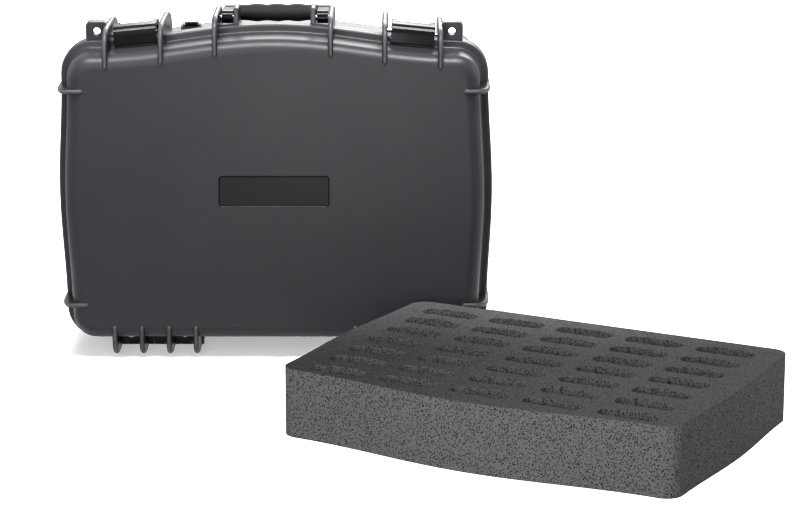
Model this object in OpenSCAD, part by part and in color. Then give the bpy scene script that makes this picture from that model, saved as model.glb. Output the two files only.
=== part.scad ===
// Hard case with ribbed shells, two over-centre latches, a folding handle and a
// die-cut foam insert that stands beside it. X runs across the lid, Y from the
// lid to the base, Z up; the shells part at y = 0 and the ribs' feet are at z = 0.

/* [Case outline] */
// Width of the rims over their side bulge
case_w = 508; // [460:1:560]
// Height of the rims at their corners
rim_h = 357; // [320:1:400]
// Rise of the latch side's arch over the corners
crown_h = 19; // [10:1:26]
// Bulge of each short side
side_bulge = 5.5; // [0:0.5:9]
// Corner radius of the rims
corner_r = 38; // [30:1:48]
// Depth of the lid
lid_d = 60; // [54:1:80]
// Depth of the base
base_d = 140; // [130:1:180]

/* [Shells] */
// Wall thickness
wall = 4; // [3:0.1:5]
// Draft angle of the walls
draft = 2.5; // [1:0.1:4]
// How far a rim stands out from its wall
rim_w = 8.5; // [7:0.1:11]
// Depth of each half's rim
rim_t = 12; // [10:0.5:16]
// Radius between a wall and the outer face
edge_r = 16; // [10:1:22]
// Rounding of the rims' outer edges
rim_edge = 2.4; // [1:0.1:3]
// Half of the parting gap
part_gap = 0.2; // [0.1:0.05:0.5]

/* [Seal] */
// Inset of the lid's groove from the rim
groove_inset = 5.4; // [4:0.1:6]
// Width of the groove
groove_w = 4.8; // [4:0.1:6]
// Depth of the groove
groove_d = 4.6; // [3:0.1:6]
// Thickness of the seal
seal_t = 2.7; // [2:0.1:3.2]
// Height of the base's sealing tongue
tongue_h = 1.2; // [0.6:0.1:1.3]

/* [Ribs] */
// Rib thickness
fin_t = 6; // [4:0.5:8]
// Height of the top ribs over the rim
fin_h = 19.5; // [17:0.5:24]
// How far the top ribs reach down the lid's face, from the rim
fin_reach = 26.5; // [22:0.5:34]
// How far the side ribs reach across the lid's face
side_reach = 30; // [26:0.5:38]
// How far the side ribs stand out past the rim
side_h = 1.5; // [1:0.5:4]
// Height of the side ribs above and below the case's middle
side_pitch = 127; // [100:1:140]
// How far the ribs stand proud of the lid's face
fin_proud = 2; // [1:0.1:4]
// Length of the latch and handle ribs over the base
fin_len = 80; // [70:1:95]
// Length of the handle's ribs over the base
handle_fin_len = 56; // [48:1:66]
// Length of the feet under the base
foot_len = 112; // [90:1:125]
// Length of the feet's flat soles
foot_run = 88; // [60:1:96]

/* [Hinges] */
// Height of the hinge axis over the floor
hinge_z = 6.3; // [6.1:0.05:6.4]
// Outer radius of the hinge barrel
barrel_r = 5.8; // [5:0.1:5.9]
// Hinge pin radius
hinge_pin_r = 2; // [1.5:0.1:3]
// Distance from a rim's side to the hinge's middle
hinge_inset = 113; // [100:1:134]
// Spacing of the ribs at the hinges
hinge_pitch = 31.7; // [30:0.1:33]
// Length of a lid knuckle
knuckle = 13; // [10:0.5:16]
// Thickness of the hinge leaves
leaf_t = 3; // [2.4:0.1:3.2]
// Shank radius of the hinge screws
screw_r = 1.9; // [1.5:0.1:2.4]

/* [Latches] */
// Distance from a rim's side to the latch's middle
latch_inset = 93.4; // [88:0.2:104]
// Pitch of a latch's two ribs
latch_pitch = 64; // [62:0.5:68]
// Width of the latch link
link_w = 50; // [46:0.5:52]
// Width of the latch lever
lever_w = 40; // [34:0.5:42]
// Radius of the latch pivot pin
pivot_r = 2.5; // [2:0.1:3]
// Radius of the link pin
link_pin_r = 2; // [1.5:0.1:2.5]
// Distance from the pivot to the link pin
throw = 12; // [11:0.1:13]
// Distance of the latch pivot behind the parting
pivot_y = 18; // [17.5:0.1:19]
// Length of the lever behind its pivot
lever_l = 54; // [46:0.5:58]

/* [Handle] */
// Pitch of the handle's outer ribs
outer_pitch = 133; // [128:0.5:140]
// Pitch of the handle's inner ribs
inner_pitch = 89.6; // [84:0.2:94]
// Thickness of the handle's arms
arm_t = 13; // [10:0.5:14]
// Reach of the handle from its pivot to the grip
handle_l = 60; // [52:1:70]
// Radius of the grip
grip_r = 10.5; // [9:0.1:12]
// Radius of the handle's bar inside the grip
bar_r = 6; // [5:0.1:7]
// Handle pin radius
handle_pin_r = 2.5; // [2:0.1:3.5]

/* [Padlock ears] */
// Distance from a rim's side to the padlock hole
padlock_inset = 47.6; // [46:0.2:50]
// Radius of the padlock holes
padlock_r = 4.75; // [3:0.05:5.5]
// How much larger the radius of the holes in the base's ears is
padlock_ease = 1; // [0.5:0.1:1.5]
// Width of an ear
ear_w = 24.7; // [22:0.1:26]
// Height of the hole over the rim's corner
padlock_h = 10.2; // [9:0.1:12]
// Thickness of an ear
ear_t = 7; // [5:0.5:9]

/* [Nameplate and valve] */
// Width of the nameplate
plate_w = 126; // [100:1:150]
// Height of the nameplate
plate_h = 34.5; // [26:0.5:44]
// Radius of the nameplate's corners
plate_r = 3; // [1:0.5:6]
// Depth of the nameplate's recess
plate_recess = 1.6; // [1.2:0.1:2]
// Thickness of the nameplate
plate_t = 1; // [0.6:0.1:1.1]
// Radius of the pressure valve's flange
valve_r = 11; // [9:0.5:13]
// Radius of the pressure valve's stem
valve_stem_r = 6; // [4:0.1:7]

/* [Foam] */
// Thickness of the pad in the lid
pad_t = 30; // [15:1:38]
// Height of the pocket block
block_h = 65; // [50:1:80]
// Thickness of the sheet under the block
sheet_h = 10; // [6:1:15]
// Number of pockets along the insert
pocket_cols = 5; // [3:1:5]
// Number of pockets across the insert
pocket_rows = 7; // [4:1:7]
// Foam left between the outer pockets and the insert's short ends
end_land = 33; // [28:0.5:40]
// Foam left between the outer pockets and the insert's long sides
side_land = 17.5; // [16:0.5:20]
// Length of a pocket
pocket_l = 67; // [60:0.5:72]
// Width of a pocket
pocket_w = 22; // [18:0.5:24]
// Radius of a pocket's corners
pocket_r = 9; // [5:0.5:10.5]
// Length of a pocket's clip notch
notch_l = 34; // [26:0.5:40]
// Depth of a pocket's clip notch
notch_d = 7; // [4:0.5:9]
// Turn of the standing insert
insert_turn = -28.2; // [-40:0.2:-15]
// Place of the insert's middle across the case
insert_x = 294; // [280:1:330]
// Gap between the insert's far corner and the lid
insert_gap = 12; // [8:1:60]

/* [Clearances] */
// Radial clearance of a pin in its bore
fit = 0.05; // [0.02:0.01:0.09]
// Gap between parts that lie on each other
seat = 0.3; // [0.2:0.05:0.5]
// Gap beside parts that swing
side_gap = 0.4; // [0.3:0.05:0.8]
// Gap of the foam in the shells
foam_gap = 1; // [0.5:0.5:3]

/* [Hidden] */
$fn = 48;
left = -1;
right = 1;

shell_grey = [0.16, 0.17, 0.18];
gloss_black = [0.05, 0.05, 0.06];
steel = [0.6, 0.6, 0.62];
foam_grey = [0.26, 0.26, 0.27];
seal_black = [0.08, 0.08, 0.08];

// Outline of the rims
corner_steps = 5;
side_steps = 6;
crown_steps = 20;
least_corner = 10;
rim_z0 = hinge_z + barrel_r + seat + 0.1;
rim_z1 = rim_z0 + rim_h;
mid_z = (rim_z0 + rim_z1) / 2;
half_w = case_w / 2 - side_bulge;
crown_run = half_w - corner_r;
bulge_run = rim_h / 2 - corner_r;
hinge_x = case_w / 2 - hinge_inset;
latch_x = case_w / 2 - latch_inset;
padlock_x = case_w / 2 - padlock_inset;

function crown(x) = abs(x) < crown_run ? crown_h / 2 * (1 + cos(180 * x / crown_run)) : 0;
function bulge(z) = abs(z - mid_z) < bulge_run
    ? side_bulge / 2 * (1 + cos(180 * (z - mid_z) / bulge_run)) : 0;
function rim_top(x) = rim_z1 + crown(x);
function crown_slope(x) = -crown_h / 2 * PI / crown_run * sin(180 * x / crown_run);
function arc(cx, cz, r, a0, a1, n) =
    [for (k = [0:n]) let (a = a0 + (a1 - a0) * k / n) [cx + r * cos(a), cz + r * sin(a)]];

// The outline drawn in by inset, anticlockwise as the camera side sees it
function outline(inset) =
    let (r = max(corner_r - inset, least_corner),
         cx = half_w - inset - r,
         low = rim_z0 + inset + r,
         high = rim_z1 - inset - r)
    concat(
        arc(cx, low, r, -90, 0, corner_steps),
        [for (k = [1:side_steps - 1]) let (z = low + (high - low) * k / side_steps)
            [half_w - inset + bulge(z), z]],
        arc(cx, high, r, 0, 90, corner_steps),
        [for (k = [1:crown_steps - 1]) let (x = cx - 2 * cx * k / crown_steps)
            [x, rim_z1 - inset + crown(x)]],
        arc(-cx, high, r, 90, 180, corner_steps),
        [for (k = [1:side_steps - 1]) let (z = high + (low - high) * k / side_steps)
            [-half_w + inset - bulge(z), z]],
        arc(-cx, low, r, 180, 270, corner_steps));

// A solid through a row of [inset, y] rings, with y rising
module loft(rings) {
    n = len(outline(0));
    last = len(rings) - 1;
    points = [for (ring = rings) for (p = outline(ring[0])) [p[0], ring[1], p[1]]];
    sides = [for (k = [0:last - 1]) for (j = [0:n - 1]) let (i = (j + 1) % n)
        [k * n + j, k * n + i, (k + 1) * n + i, (k + 1) * n + j]];
    front = [for (j = [n - 1:-1:0]) j];
    back = [for (j = [0:n - 1]) last * n + j];
    polyhedron(points, concat([front], sides, [back]), convexity = 6);
}

// A plate in the XZ plane between two depths
module slab(y0, y1) {
    translate([0, y1, 0]) rotate([90, 0, 0]) linear_extrude(y1 - y0) children();
}

module ring_slab(y0, y1, outer, inner) {
    slab(y0, y1) difference() {
        polygon(outline(outer));
        polygon(outline(inner));
    }
}

function flip(rings) = [for (k = [len(rings) - 1:-1:0]) [rings[k][0], -rings[k][1]]];
function drawn_in(depth) = depth * tan(draft);
edge_steps = 4;

// Rings of a shell's outside, from its parting face to its outer face
function outer_rings(depth) =
    let (rim_foot = rim_t + rim_edge / 2,
         foot = rim_w + drawn_in(depth - edge_r))
    concat(
        [[rim_edge / 3, part_gap], [0, part_gap + rim_edge / 2], [0, rim_t - rim_edge],
         [rim_edge * 0.3, rim_t - rim_edge * 0.3], [rim_edge, rim_t],
         [rim_w - rim_edge / 2, rim_foot], [rim_w + drawn_in(rim_foot), rim_foot + rim_edge]],
        [for (k = [0:edge_steps]) let (a = 90 * k / edge_steps)
            [foot + edge_r * (1 - cos(a)), depth - edge_r + edge_r * sin(a)]]);

// Rings of a shell's hollow, which starts past the parting face
function hollow_rings(depth) =
    let (r = edge_r - wall,
         foot = rim_w + wall + drawn_in(depth - edge_r))
    concat(
        [[rim_w + wall, -rim_edge]],
        [for (k = [0:edge_steps]) let (a = 90 * k / edge_steps)
            [foot + r * (1 - cos(a)), depth - wall - r + r * sin(a)]]);

// A rib with rounded edges, across X: profile points are [height over the rim, depth]
module fin(start, run, far, top, low, tail) {
    round_steps = [[-0.5, 1.7], [-0.36, 0.5], [-0.22, 0], [0.22, 0], [0.36, 0.5], [0.5, 1.7]];
    curve_steps = 7;
    fullness = 0.75;
    slices = [for (s = round_steps) let (c = s[1])
        concat(
            [[-tail, start], [top - c, start]],
            [for (k = [0:curve_steps]) let (a = 90 * k / curve_steps)
                [-low + (top - c + low) * pow(cos(a), fullness),
                 run + (far - c - run) * pow(sin(a), fullness)]],
            [[-tail, far - fin_proud - 0.6]])];
    n = len(slices[0]);
    last = len(slices) - 1;
    points = [for (k = [0:last]) for (p = slices[k]) [round_steps[k][0] * fin_t, p[1], p[0]]];
    sides = [for (k = [0:last - 1]) for (j = [0:n - 1]) let (i = (j + 1) % n)
        [k * n + j, k * n + i, (k + 1) * n + i, (k + 1) * n + j]];
    first = [for (j = [n - 1:-1:0]) j];
    end = [for (j = [0:n - 1]) last * n + j];
    polyhedron(points, concat([first], sides, [end]), convexity = 4);
}

// Ribs are placed on the rim, pointing outwards
module on_top(x) { translate([x, 0, rim_top(x)]) children(); }
module on_bottom(x) { translate([x, 0, rim_z0]) rotate([0, 180, 0]) children(); }
module on_side(hand, z) {
    translate([hand * (half_w + bulge(z)), 0, z]) rotate([0, hand * 90, 0]) children();
}
module lid_side() { mirror([0, 1, 0]) children(); }

latch_rib_x = [for (hand = [left, right]) for (e = [-1, 1]) hand * latch_x + e * latch_pitch / 2];
foot_x = [for (hand = [left, right]) for (k = [-1.5:1:1.5]) hand * hinge_x + k * hinge_pitch];
foot_start = rim_t;
fin_run = 26;
shoulder = rim_w + wall / 2;

module lid_fin(start, top, reach) {
    fin(start, fin_run, lid_d + fin_proud, top, reach / 2, reach);
}
module base_fin(start, run, far, top) {
    tail = rim_w + 1.5 * wall + drawn_in(far);
    fin(start, run, far, top, tail, tail);
}

// The latches lie along the rim's slope
function latch_tilt(hand) = -atan(crown_slope(hand * latch_x));
module at_latch(hand) {
    translate([hand * latch_x, 0, rim_top(hand * latch_x)])
        rotate([0, latch_tilt(hand), 0]) children();
}
module cross_pin(r, half, y, z) {
    translate([-half, y, z]) rotate([0, 90, 0]) cylinder(r = r, h = 2 * half);
}

pivot_z = 2;
pivot_half = latch_pitch / 2 + fin_t / 2 - 0.6;

// Padlock ears
padlock_z = rim_z1 + padlock_h;
ear_top = padlock_z + ear_w / 2 - 1.6;
module ears(y0, y1, hole_r) {
    r = 5;
    for (hand = [left, right])
        slab(y0, y1) difference() {
            union() {
                translate([hand * padlock_x - ear_w / 2, rim_z1 - corner_r / 2])
                    square([ear_w, ear_top - r - rim_z1 + corner_r / 2]);
                translate([hand * padlock_x - ear_w / 2 + r, rim_z1])
                    square([ear_w - 2 * r, ear_top - rim_z1]);
                for (e = [-1, 1])
                    translate([hand * padlock_x + e * (ear_w / 2 - r), ear_top - r]) circle(r);
            }
            translate([hand * padlock_x, padlock_z]) circle(hole_r);
        }
}

// The lid's catches give the latch links a flat face to pull on
catch_y = rim_t + rim_edge + 1;
module catches() {
    for (hand = [left, right]) lid_side() at_latch(hand)
        translate([-link_w / 2 - 1, rim_t / 2, -rim_w - wall / 2])
            cube([link_w + 2, catch_y - rim_t / 2, rim_w + wall / 2 - 0.8]);
}

// Screw places of a hinge leaf, two in the outer bays
screw_y = 23;
function screw_x(hand) = [for (k = [-1, 1]) hand * hinge_x + k * hinge_pitch];
leaf_top = rim_z0 + rim_w + drawn_in(rim_t) - seat;

module lid_shell() {
    color(shell_grey) difference() {
        union() {
            loft(flip(outer_rings(lid_d)));
            lid_side() for (x = latch_rib_x) on_top(x) lid_fin(part_gap, fin_h, fin_reach);
            lid_side() for (e = [-1, 1])
                on_top(e * outer_pitch / 2) lid_fin(part_gap, fin_h, fin_reach);
            lid_side() for (hand = [left, right]) for (e = [-1, 1])
                on_side(hand, mid_z + e * side_pitch) lid_fin(part_gap, side_h, side_reach);
            lid_side() for (x = foot_x)
                on_bottom(x) lid_fin(foot_start, rim_z0, fin_reach);
            ears(-ear_t, -part_gap, padlock_r);
            catches();
        }
        loft(flip(hollow_rings(lid_d)));
        ring_slab(-groove_d, rim_t / 4, groove_inset, groove_inset + groove_w);
        slab(-lid_d - plate_recess, -lid_d + plate_recess) plate_shape(0);
        screw_bores(left, -screw_y);
        screw_bores(right, -screw_y);
    }
}

module plate_shape(gap) {
    translate([0, mid_z + crown_h / 2])
        rounded(plate_w - 2 * gap, plate_h - 2 * gap, plate_r - gap);
}
module name_plate() {
    color(gloss_black)
        slab(-lid_d + plate_recess - plate_t, -lid_d + plate_recess) plate_shape(seat);
}

module lid_seal() {
    color(seal_black)
        ring_slab(-groove_d, -groove_d + seal_t, groove_inset + seat, groove_inset + groove_w - seat);
}

pad_inset = rim_w + wall + foam_gap;
module lid_pad() {
    far = lid_d - wall;
    r = edge_r - wall;
    inner = pad_inset + drawn_in(far);
    color(foam_grey) loft(flip([[inner, far - pad_t], [inner, far - r], [inner + r, far]]));
}

tongue_gap = 1.2;
module base_shell() {
    color(shell_grey) difference() {
        union() {
            loft(outer_rings(base_d));
            for (x = latch_rib_x) on_top(x) base_fin(part_gap, fin_run, fin_len, fin_h);
            for (e = [-1, 1]) for (gap = [outer_pitch, inner_pitch])
                on_top(e * gap / 2) base_fin(part_gap, fin_run, handle_fin_len, fin_h);
            for (hand = [left, right]) for (e = [-1, 1])
                on_side(hand, mid_z + e * side_pitch) base_fin(part_gap, fin_run, fin_len, side_h);
            for (x = foot_x) on_bottom(x) base_fin(foot_start, foot_run, foot_len, rim_z0);
            ears(part_gap, ear_t, padlock_r + padlock_ease);
            ring_slab(-tongue_h, rim_t / 2, groove_inset + tongue_gap,
                groove_inset + groove_w - tongue_gap);
            valve_boss();
            stacking_pads();
        }
        loft(hollow_rings(base_d));
        for (hand = [left, right]) at_latch(hand)
            cross_pin(pivot_r + fit, latch_pitch, pivot_y, pivot_z);
        for (e = [-1, 1]) translate([e * (outer_pitch + inner_pitch) / 4, 0, 0])
            cross_pin(handle_pin_r + fit, handle_pin_half, handle_y, handle_z);
        valve_bore();
        screw_bores(left, screw_y);
        screw_bores(right, screw_y);
    }
}

// Four moulded pads on which the case lies flat
module stacking_pads() {
    pad_r = 15;
    pad_h = 2;
    pad_side = 75;
    pad_end = 70;
    for (x = [-1, 1]) for (z = [-1, 1])
        translate([x * (half_w - pad_side), base_d - 1, mid_z + z * (rim_h / 2 - pad_end)])
            rotate([-90, 0, 0]) cylinder(r = pad_r, h = pad_h + 1);
}

// Pressure valve behind the latch side, clear of the handle
valve_x = -104;
valve_y = 100;
boss_h = 3;
boss_z = rim_top(valve_x) - rim_w - drawn_in(valve_y) + boss_h;
module at_valve() { translate([valve_x, valve_y, boss_z]) children(); }
module valve_boss() {
    sunk = wall + boss_h + 1;
    at_valve() translate([0, 0, -sunk]) cylinder(r = valve_r + 2, h = sunk);
}
module valve_bore() {
    at_valve() translate([0, 0, -8 * wall]) cylinder(r = valve_stem_r + fit, h = 12 * wall);
}
flange_t = 2;
neck_r = valve_r - 3;
neck_h = 2;
stem_l = 3 * wall;
module valve_body() {
    color(gloss_black) at_valve() {
        cylinder(r = valve_r, h = flange_t);
        translate([0, 0, flange_t]) cylinder(r = neck_r, h = neck_h);
        translate([0, 0, -stem_l]) cylinder(r = valve_stem_r, h = stem_l);
    }
}
nut_t = 3;
nut_r = valve_r - 1.5;
nut_z = -9;
module valve_nut() {
    color(gloss_black) at_valve() translate([0, 0, nut_z - nut_t]) difference() {
        cylinder(r = nut_r, h = nut_t, $fn = 6);
        translate([0, 0, -1]) cylinder(r = valve_stem_r + fit, h = nut_t + 2);
    }
}
cap_h = 1.6;
module valve_cap() {
    color(steel) at_valve() translate([0, 0, flange_t + neck_h]) cylinder(r = neck_r - 1, h = cap_h);
}

// Hinges: knuckles on a pin, leaves under the rims and up the walls
barrel_l = 3 * hinge_pitch + 10;
strip_l = 3 * hinge_pitch + 4;
strip_y = barrel_r + 0.7;
riser_y = rim_t + rim_edge + 0.9;
leaf_end = screw_y + 6;
screw_head_h = 1.8;
module leaf_plates(hand) {
    tongue_w = hinge_pitch - fin_t - 2 * side_gap - 1;
    z0 = hinge_z + barrel_r - leaf_t;
    translate([hand * hinge_x - strip_l / 2, strip_y, z0])
        cube([strip_l, foot_start - side_gap - strip_y, leaf_t]);
    for (k = [-1:1]) translate([hand * hinge_x + k * hinge_pitch - tongue_w / 2, 0, 0]) {
        translate([0, strip_y, z0]) cube([tongue_w, riser_y + leaf_t - strip_y, leaf_t]);
        translate([0, riser_y, z0]) cube([tongue_w, leaf_t, leaf_top - z0]);
        translate([0, riser_y, leaf_top - leaf_t])
            cube([tongue_w, leaf_end - riser_y, leaf_t]);
    }
}
module screw_bores(hand, y) {
    for (x = screw_x(hand)) translate([x, y, leaf_top - leaf_t - 1])
        cylinder(r = screw_r + fit, h = 1 + leaf_t + wall);
}
module knuckle_at(x, l) {
    translate([x - l / 2, 0, hinge_z]) rotate([0, 90, 0]) cylinder(r = barrel_r, h = l);
    translate([x - l / 2, 0, hinge_z + barrel_r - leaf_t]) cube([l, strip_y + 1, leaf_t]);
}
module pin_bore(hand) {
    translate([hand * hinge_x - barrel_l, 0, hinge_z])
        rotate([0, 90, 0]) cylinder(r = hinge_pin_r + fit, h = 2 * barrel_l);
}
module hinge_leaf_lid(hand) {
    color(gloss_black) difference() {
        lid_side() {
            leaf_plates(hand);
            for (k = [-1:1]) knuckle_at(hand * hinge_x + k * hinge_pitch, knuckle);
        }
        pin_bore(hand);
        screw_bores(hand, -screw_y);
    }
}
module hinge_leaf_base(hand) {
    gap_l = hinge_pitch - knuckle - 2 * side_gap;
    end_l = barrel_l / 2 - hinge_pitch - knuckle / 2 - side_gap;
    color(gloss_black) difference() {
        union() {
            leaf_plates(hand);
            for (e = [-1, 1]) {
                knuckle_at(hand * hinge_x + e * hinge_pitch / 2, gap_l);
                knuckle_at(hand * hinge_x + e * (barrel_l - end_l) / 2, end_l);
            }
        }
        pin_bore(hand);
        screw_bores(hand, screw_y);
    }
}
module hinge_pin(hand) {
    color(steel) translate([hand * hinge_x - barrel_l / 2 - 0.5, 0, hinge_z])
        rotate([0, 90, 0]) cylinder(r = hinge_pin_r, h = barrel_l + 1);
}
module hinge_screws(dir) {
    color(steel) for (hand = [left, right]) for (x = screw_x(hand))
        translate([x, dir * screw_y, leaf_top - leaf_t]) {
            cylinder(r = screw_r, h = leaf_t + wall);
            translate([0, 0, -screw_head_h]) cylinder(r = 2 * screw_r, h = screw_head_h);
        }
}

// Latches: the link hooks over the lid's catch and is drawn back by the lever
link_pin_y = pivot_y + throw;
link_pin_z = pivot_z - 0.5;
link_eye = link_pin_r + 2.4;
lever_eye = pivot_r + 2.5;
link_t = 3.8;
link_top = fin_h - 3.5;
hook_y = -catch_y - seat;
hook_low = -6;
bend_r = 10;
bow_end = 3;
arm_start = 1;
arm_bend = 13;
arm_rear = 6;
eye_edge = 0.4;

module side_view(width) {
    translate([-width / 2, 0, 0]) rotate([90, 0, 90]) linear_extrude(width) children();
}
module link_bow() {
    cx = hook_y - link_t + bend_r;
    cz = link_top - bend_r;
    polygon(concat(
        arc(cx, cz, bend_r, 90, 180, 6),
        [[hook_y - link_t, hook_low + 1], [hook_y - link_t + 1, hook_low], [hook_y, hook_low]],
        arc(cx, cz, bend_r - link_t, 180, 90, 6),
        [[bow_end, link_top - link_t], [bow_end, link_top]]));
}
module link_arm() {
    polygon([[arm_start, link_top], [arm_start, link_top - link_t],
        [arm_bend, link_top - link_t - 1], [link_pin_y - link_eye + eye_edge, link_pin_z + 1],
        [link_pin_y, link_pin_z], [link_pin_y + link_eye - eye_edge, link_pin_z + 2],
        [link_pin_y - arm_rear, link_top - 1.4], [arm_bend, link_top]]);
    translate([link_pin_y, link_pin_z]) circle(link_eye);
}
module latch_link(hand) {
    arm = (link_w - lever_w) / 2 - side_gap;
    color(gloss_black) at_latch(hand) difference() {
        union() {
            side_view(link_w) link_bow();
            for (e = [-1, 1]) translate([e * (link_w - arm) / 2, 0, 0]) side_view(arm) link_arm();
        }
        cross_pin(link_pin_r + fit, link_w, link_pin_y, link_pin_z);
    }
}
lever_lift = 5;
module latch_lever(hand) {
    tip = pivot_y + lever_l;
    tip_z = -drawn_in(tip) - rim_w + lever_lift;
    color(gloss_black) at_latch(hand) difference() {
        union() {
            cross_pin(lever_eye, lever_w / 2, pivot_y, pivot_z);
            side_view(lever_w) polygon([[pivot_y, pivot_z + lever_eye - 0.6],
                [link_pin_y, link_pin_z + link_eye], [tip - 6, tip_z + 3.4],
                [tip - 1.6, tip_z + 2.2], [tip, tip_z], [tip - 1.6, tip_z - 1.8],
                [tip - 8, tip_z - 1.4], [link_pin_y, link_pin_z - link_eye],
                [pivot_y, pivot_z - lever_eye + 0.6]]);
        }
        cross_pin(pivot_r + fit, lever_w, pivot_y, pivot_z);
        cross_pin(link_pin_r + fit, lever_w, link_pin_y, link_pin_z);
    }
}
module latch_pivot(hand) {
    color(steel) at_latch(hand) cross_pin(pivot_r, pivot_half, pivot_y, pivot_z);
}
module link_pin(hand) {
    color(steel) at_latch(hand) cross_pin(link_pin_r, link_w / 2, link_pin_y, link_pin_z);
}

// Handle: two arms and a bar, folded back onto the base
handle_y = 20;
handle_lift = 8;
handle_z = rim_top(outer_pitch / 2) + handle_lift;
handle_pin_half = (outer_pitch - inner_pitch) / 4 + fin_t / 2;
arm_x = (outer_pitch + inner_pitch) / 4;
grip_y = handle_y + handle_l;
grip_z = rim_top(0) - rim_w - drawn_in(grip_y - grip_r) + grip_r + seat;
eye_r = 7.6;
knob_r = eye_r + 1.4;
grip_half = arm_x - arm_t / 2 - seat;
module handle_frame() {
    color(gloss_black) difference() {
        union() {
            for (e = [-1, 1]) translate([e * arm_x, 0, 0]) side_view(arm_t) {
                translate([handle_y, handle_z]) circle(eye_r);
                translate([grip_y, grip_z]) circle(knob_r);
                polygon([[handle_y, handle_z + eye_r], [handle_y, handle_z - eye_r],
                    [grip_y, grip_z - eye_r], [grip_y, grip_z + eye_r]]);
            }
            cross_pin(bar_r, arm_x, grip_y, grip_z);
        }
        for (e = [-1, 1]) translate([e * arm_x, 0, 0])
            cross_pin(handle_pin_r + fit, arm_t, handle_y, handle_z);
    }
}
module handle_grip() {
    groove = 1.2;
    waves = 4;
    steps = 32;
    profile = concat(
        [[bar_r + fit, -grip_half]],
        [for (k = [0:steps]) let (t = k / steps)
            [grip_r - 1.6 * pow(abs(2 * t - 1), 6) - groove * (1 - cos(360 * waves * t)) / 2,
             -grip_half + 2 * grip_half * t]],
        [[bar_r + fit, grip_half]]);
    color(seal_black) translate([0, grip_y, grip_z]) rotate([0, 90, 0]) rotate_extrude()
        polygon(profile);
}
module handle_pin(hand) {
    color(steel) translate([hand * arm_x, 0, 0])
        cross_pin(handle_pin_r, handle_pin_half - 0.5, handle_y, handle_z);
}

// Foam insert: its outline follows the base's floor, with the arched side to the camera
insert_inset = rim_w + wall + foam_gap + drawn_in(base_d - wall);
insert_half_x = half_w + side_bulge - insert_inset;
insert_half_y = rim_h / 2 - insert_inset;
col_pitch = (2 * (insert_half_x - end_land) - pocket_l) / (pocket_cols - 1);
row_pitch = (2 * (insert_half_y - side_land) - pocket_w) / (pocket_rows - 1);
turned_x = insert_half_x * sin(-insert_turn) + insert_half_y * cos(insert_turn);
insert_y = -(lid_d + fin_proud + insert_gap + turned_x);
module at_insert() { translate([insert_x, insert_y, 0]) rotate([0, 0, insert_turn]) children(); }
module insert_outline() {
    polygon([for (p = outline(insert_inset)) [p[0], mid_z - p[1]]]);
}
module rounded(l, w, r) {
    square([l - 2 * r, w], center = true);
    square([l, w - 2 * r], center = true);
    for (x = [-1, 1]) for (y = [-1, 1]) translate([x * (l / 2 - r), y * (w / 2 - r)]) circle(r);
}
module pocket() {
    translate([0, -notch_d / 2]) rounded(pocket_l, pocket_w, pocket_r);
    translate([0, pocket_w / 2 - notch_d]) rounded(notch_l, 2 * notch_d, 2);
}
module insert_block() {
    color(foam_grey) at_insert() translate([0, 0, sheet_h]) linear_extrude(block_h) difference() {
        insert_outline();
        for (i = [0:pocket_cols - 1]) for (j = [0:pocket_rows - 1])
            translate([(i - (pocket_cols - 1) / 2) * col_pitch,
                (j - (pocket_rows - 1) / 2) * row_pitch - crown_h / 4]) pocket();
    }
}
module insert_sheet() {
    color(foam_grey) at_insert() linear_extrude(sheet_h) insert_outline();
}

lid_shell();
name_plate();
lid_seal();
lid_pad();
base_shell();
valve_body();
valve_nut();
valve_cap();
hinge_leaf_lid(left);  // hinge_leaf_lid_left
hinge_leaf_lid(right);  // hinge_leaf_lid_right
hinge_leaf_base(left);  // hinge_leaf_base_left
hinge_leaf_base(right);  // hinge_leaf_base_right
hinge_pin(left);  // hinge_pin_left
hinge_pin(right);  // hinge_pin_right
hinge_screws(-1);  // hinge_screws_lid
hinge_screws(1);  // hinge_screws_base
latch_lever(left);  // latch_lever_left
latch_lever(right);  // latch_lever_right
latch_link(left);  // latch_link_left
latch_link(right);  // latch_link_right
latch_pivot(left);  // latch_pivot_left
latch_pivot(right);  // latch_pivot_right
link_pin(left);  // link_pin_left
link_pin(right);  // link_pin_right
handle_frame();
handle_grip();
handle_pin(left);  // handle_pin_left
handle_pin(right);  // handle_pin_right
insert_block();
insert_sheet();
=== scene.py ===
import bpy
import bmesh
import math
from mathutils import Matrix, Vector


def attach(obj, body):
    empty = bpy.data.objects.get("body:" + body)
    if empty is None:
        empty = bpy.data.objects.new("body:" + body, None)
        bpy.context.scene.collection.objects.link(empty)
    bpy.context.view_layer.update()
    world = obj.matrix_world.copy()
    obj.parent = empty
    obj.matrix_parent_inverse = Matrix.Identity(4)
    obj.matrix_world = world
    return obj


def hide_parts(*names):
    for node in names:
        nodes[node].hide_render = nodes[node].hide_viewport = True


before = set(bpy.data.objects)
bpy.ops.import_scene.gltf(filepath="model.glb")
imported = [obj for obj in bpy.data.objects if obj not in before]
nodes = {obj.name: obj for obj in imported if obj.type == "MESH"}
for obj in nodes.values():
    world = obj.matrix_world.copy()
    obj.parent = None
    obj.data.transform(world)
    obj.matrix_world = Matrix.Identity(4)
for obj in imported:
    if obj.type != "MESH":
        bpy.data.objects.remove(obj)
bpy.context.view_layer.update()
mm = 0.001
print("frame loaded:", len(nodes), "nodes")


# Camera, lamps, white surround and a floor that only shows the shadow

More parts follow.
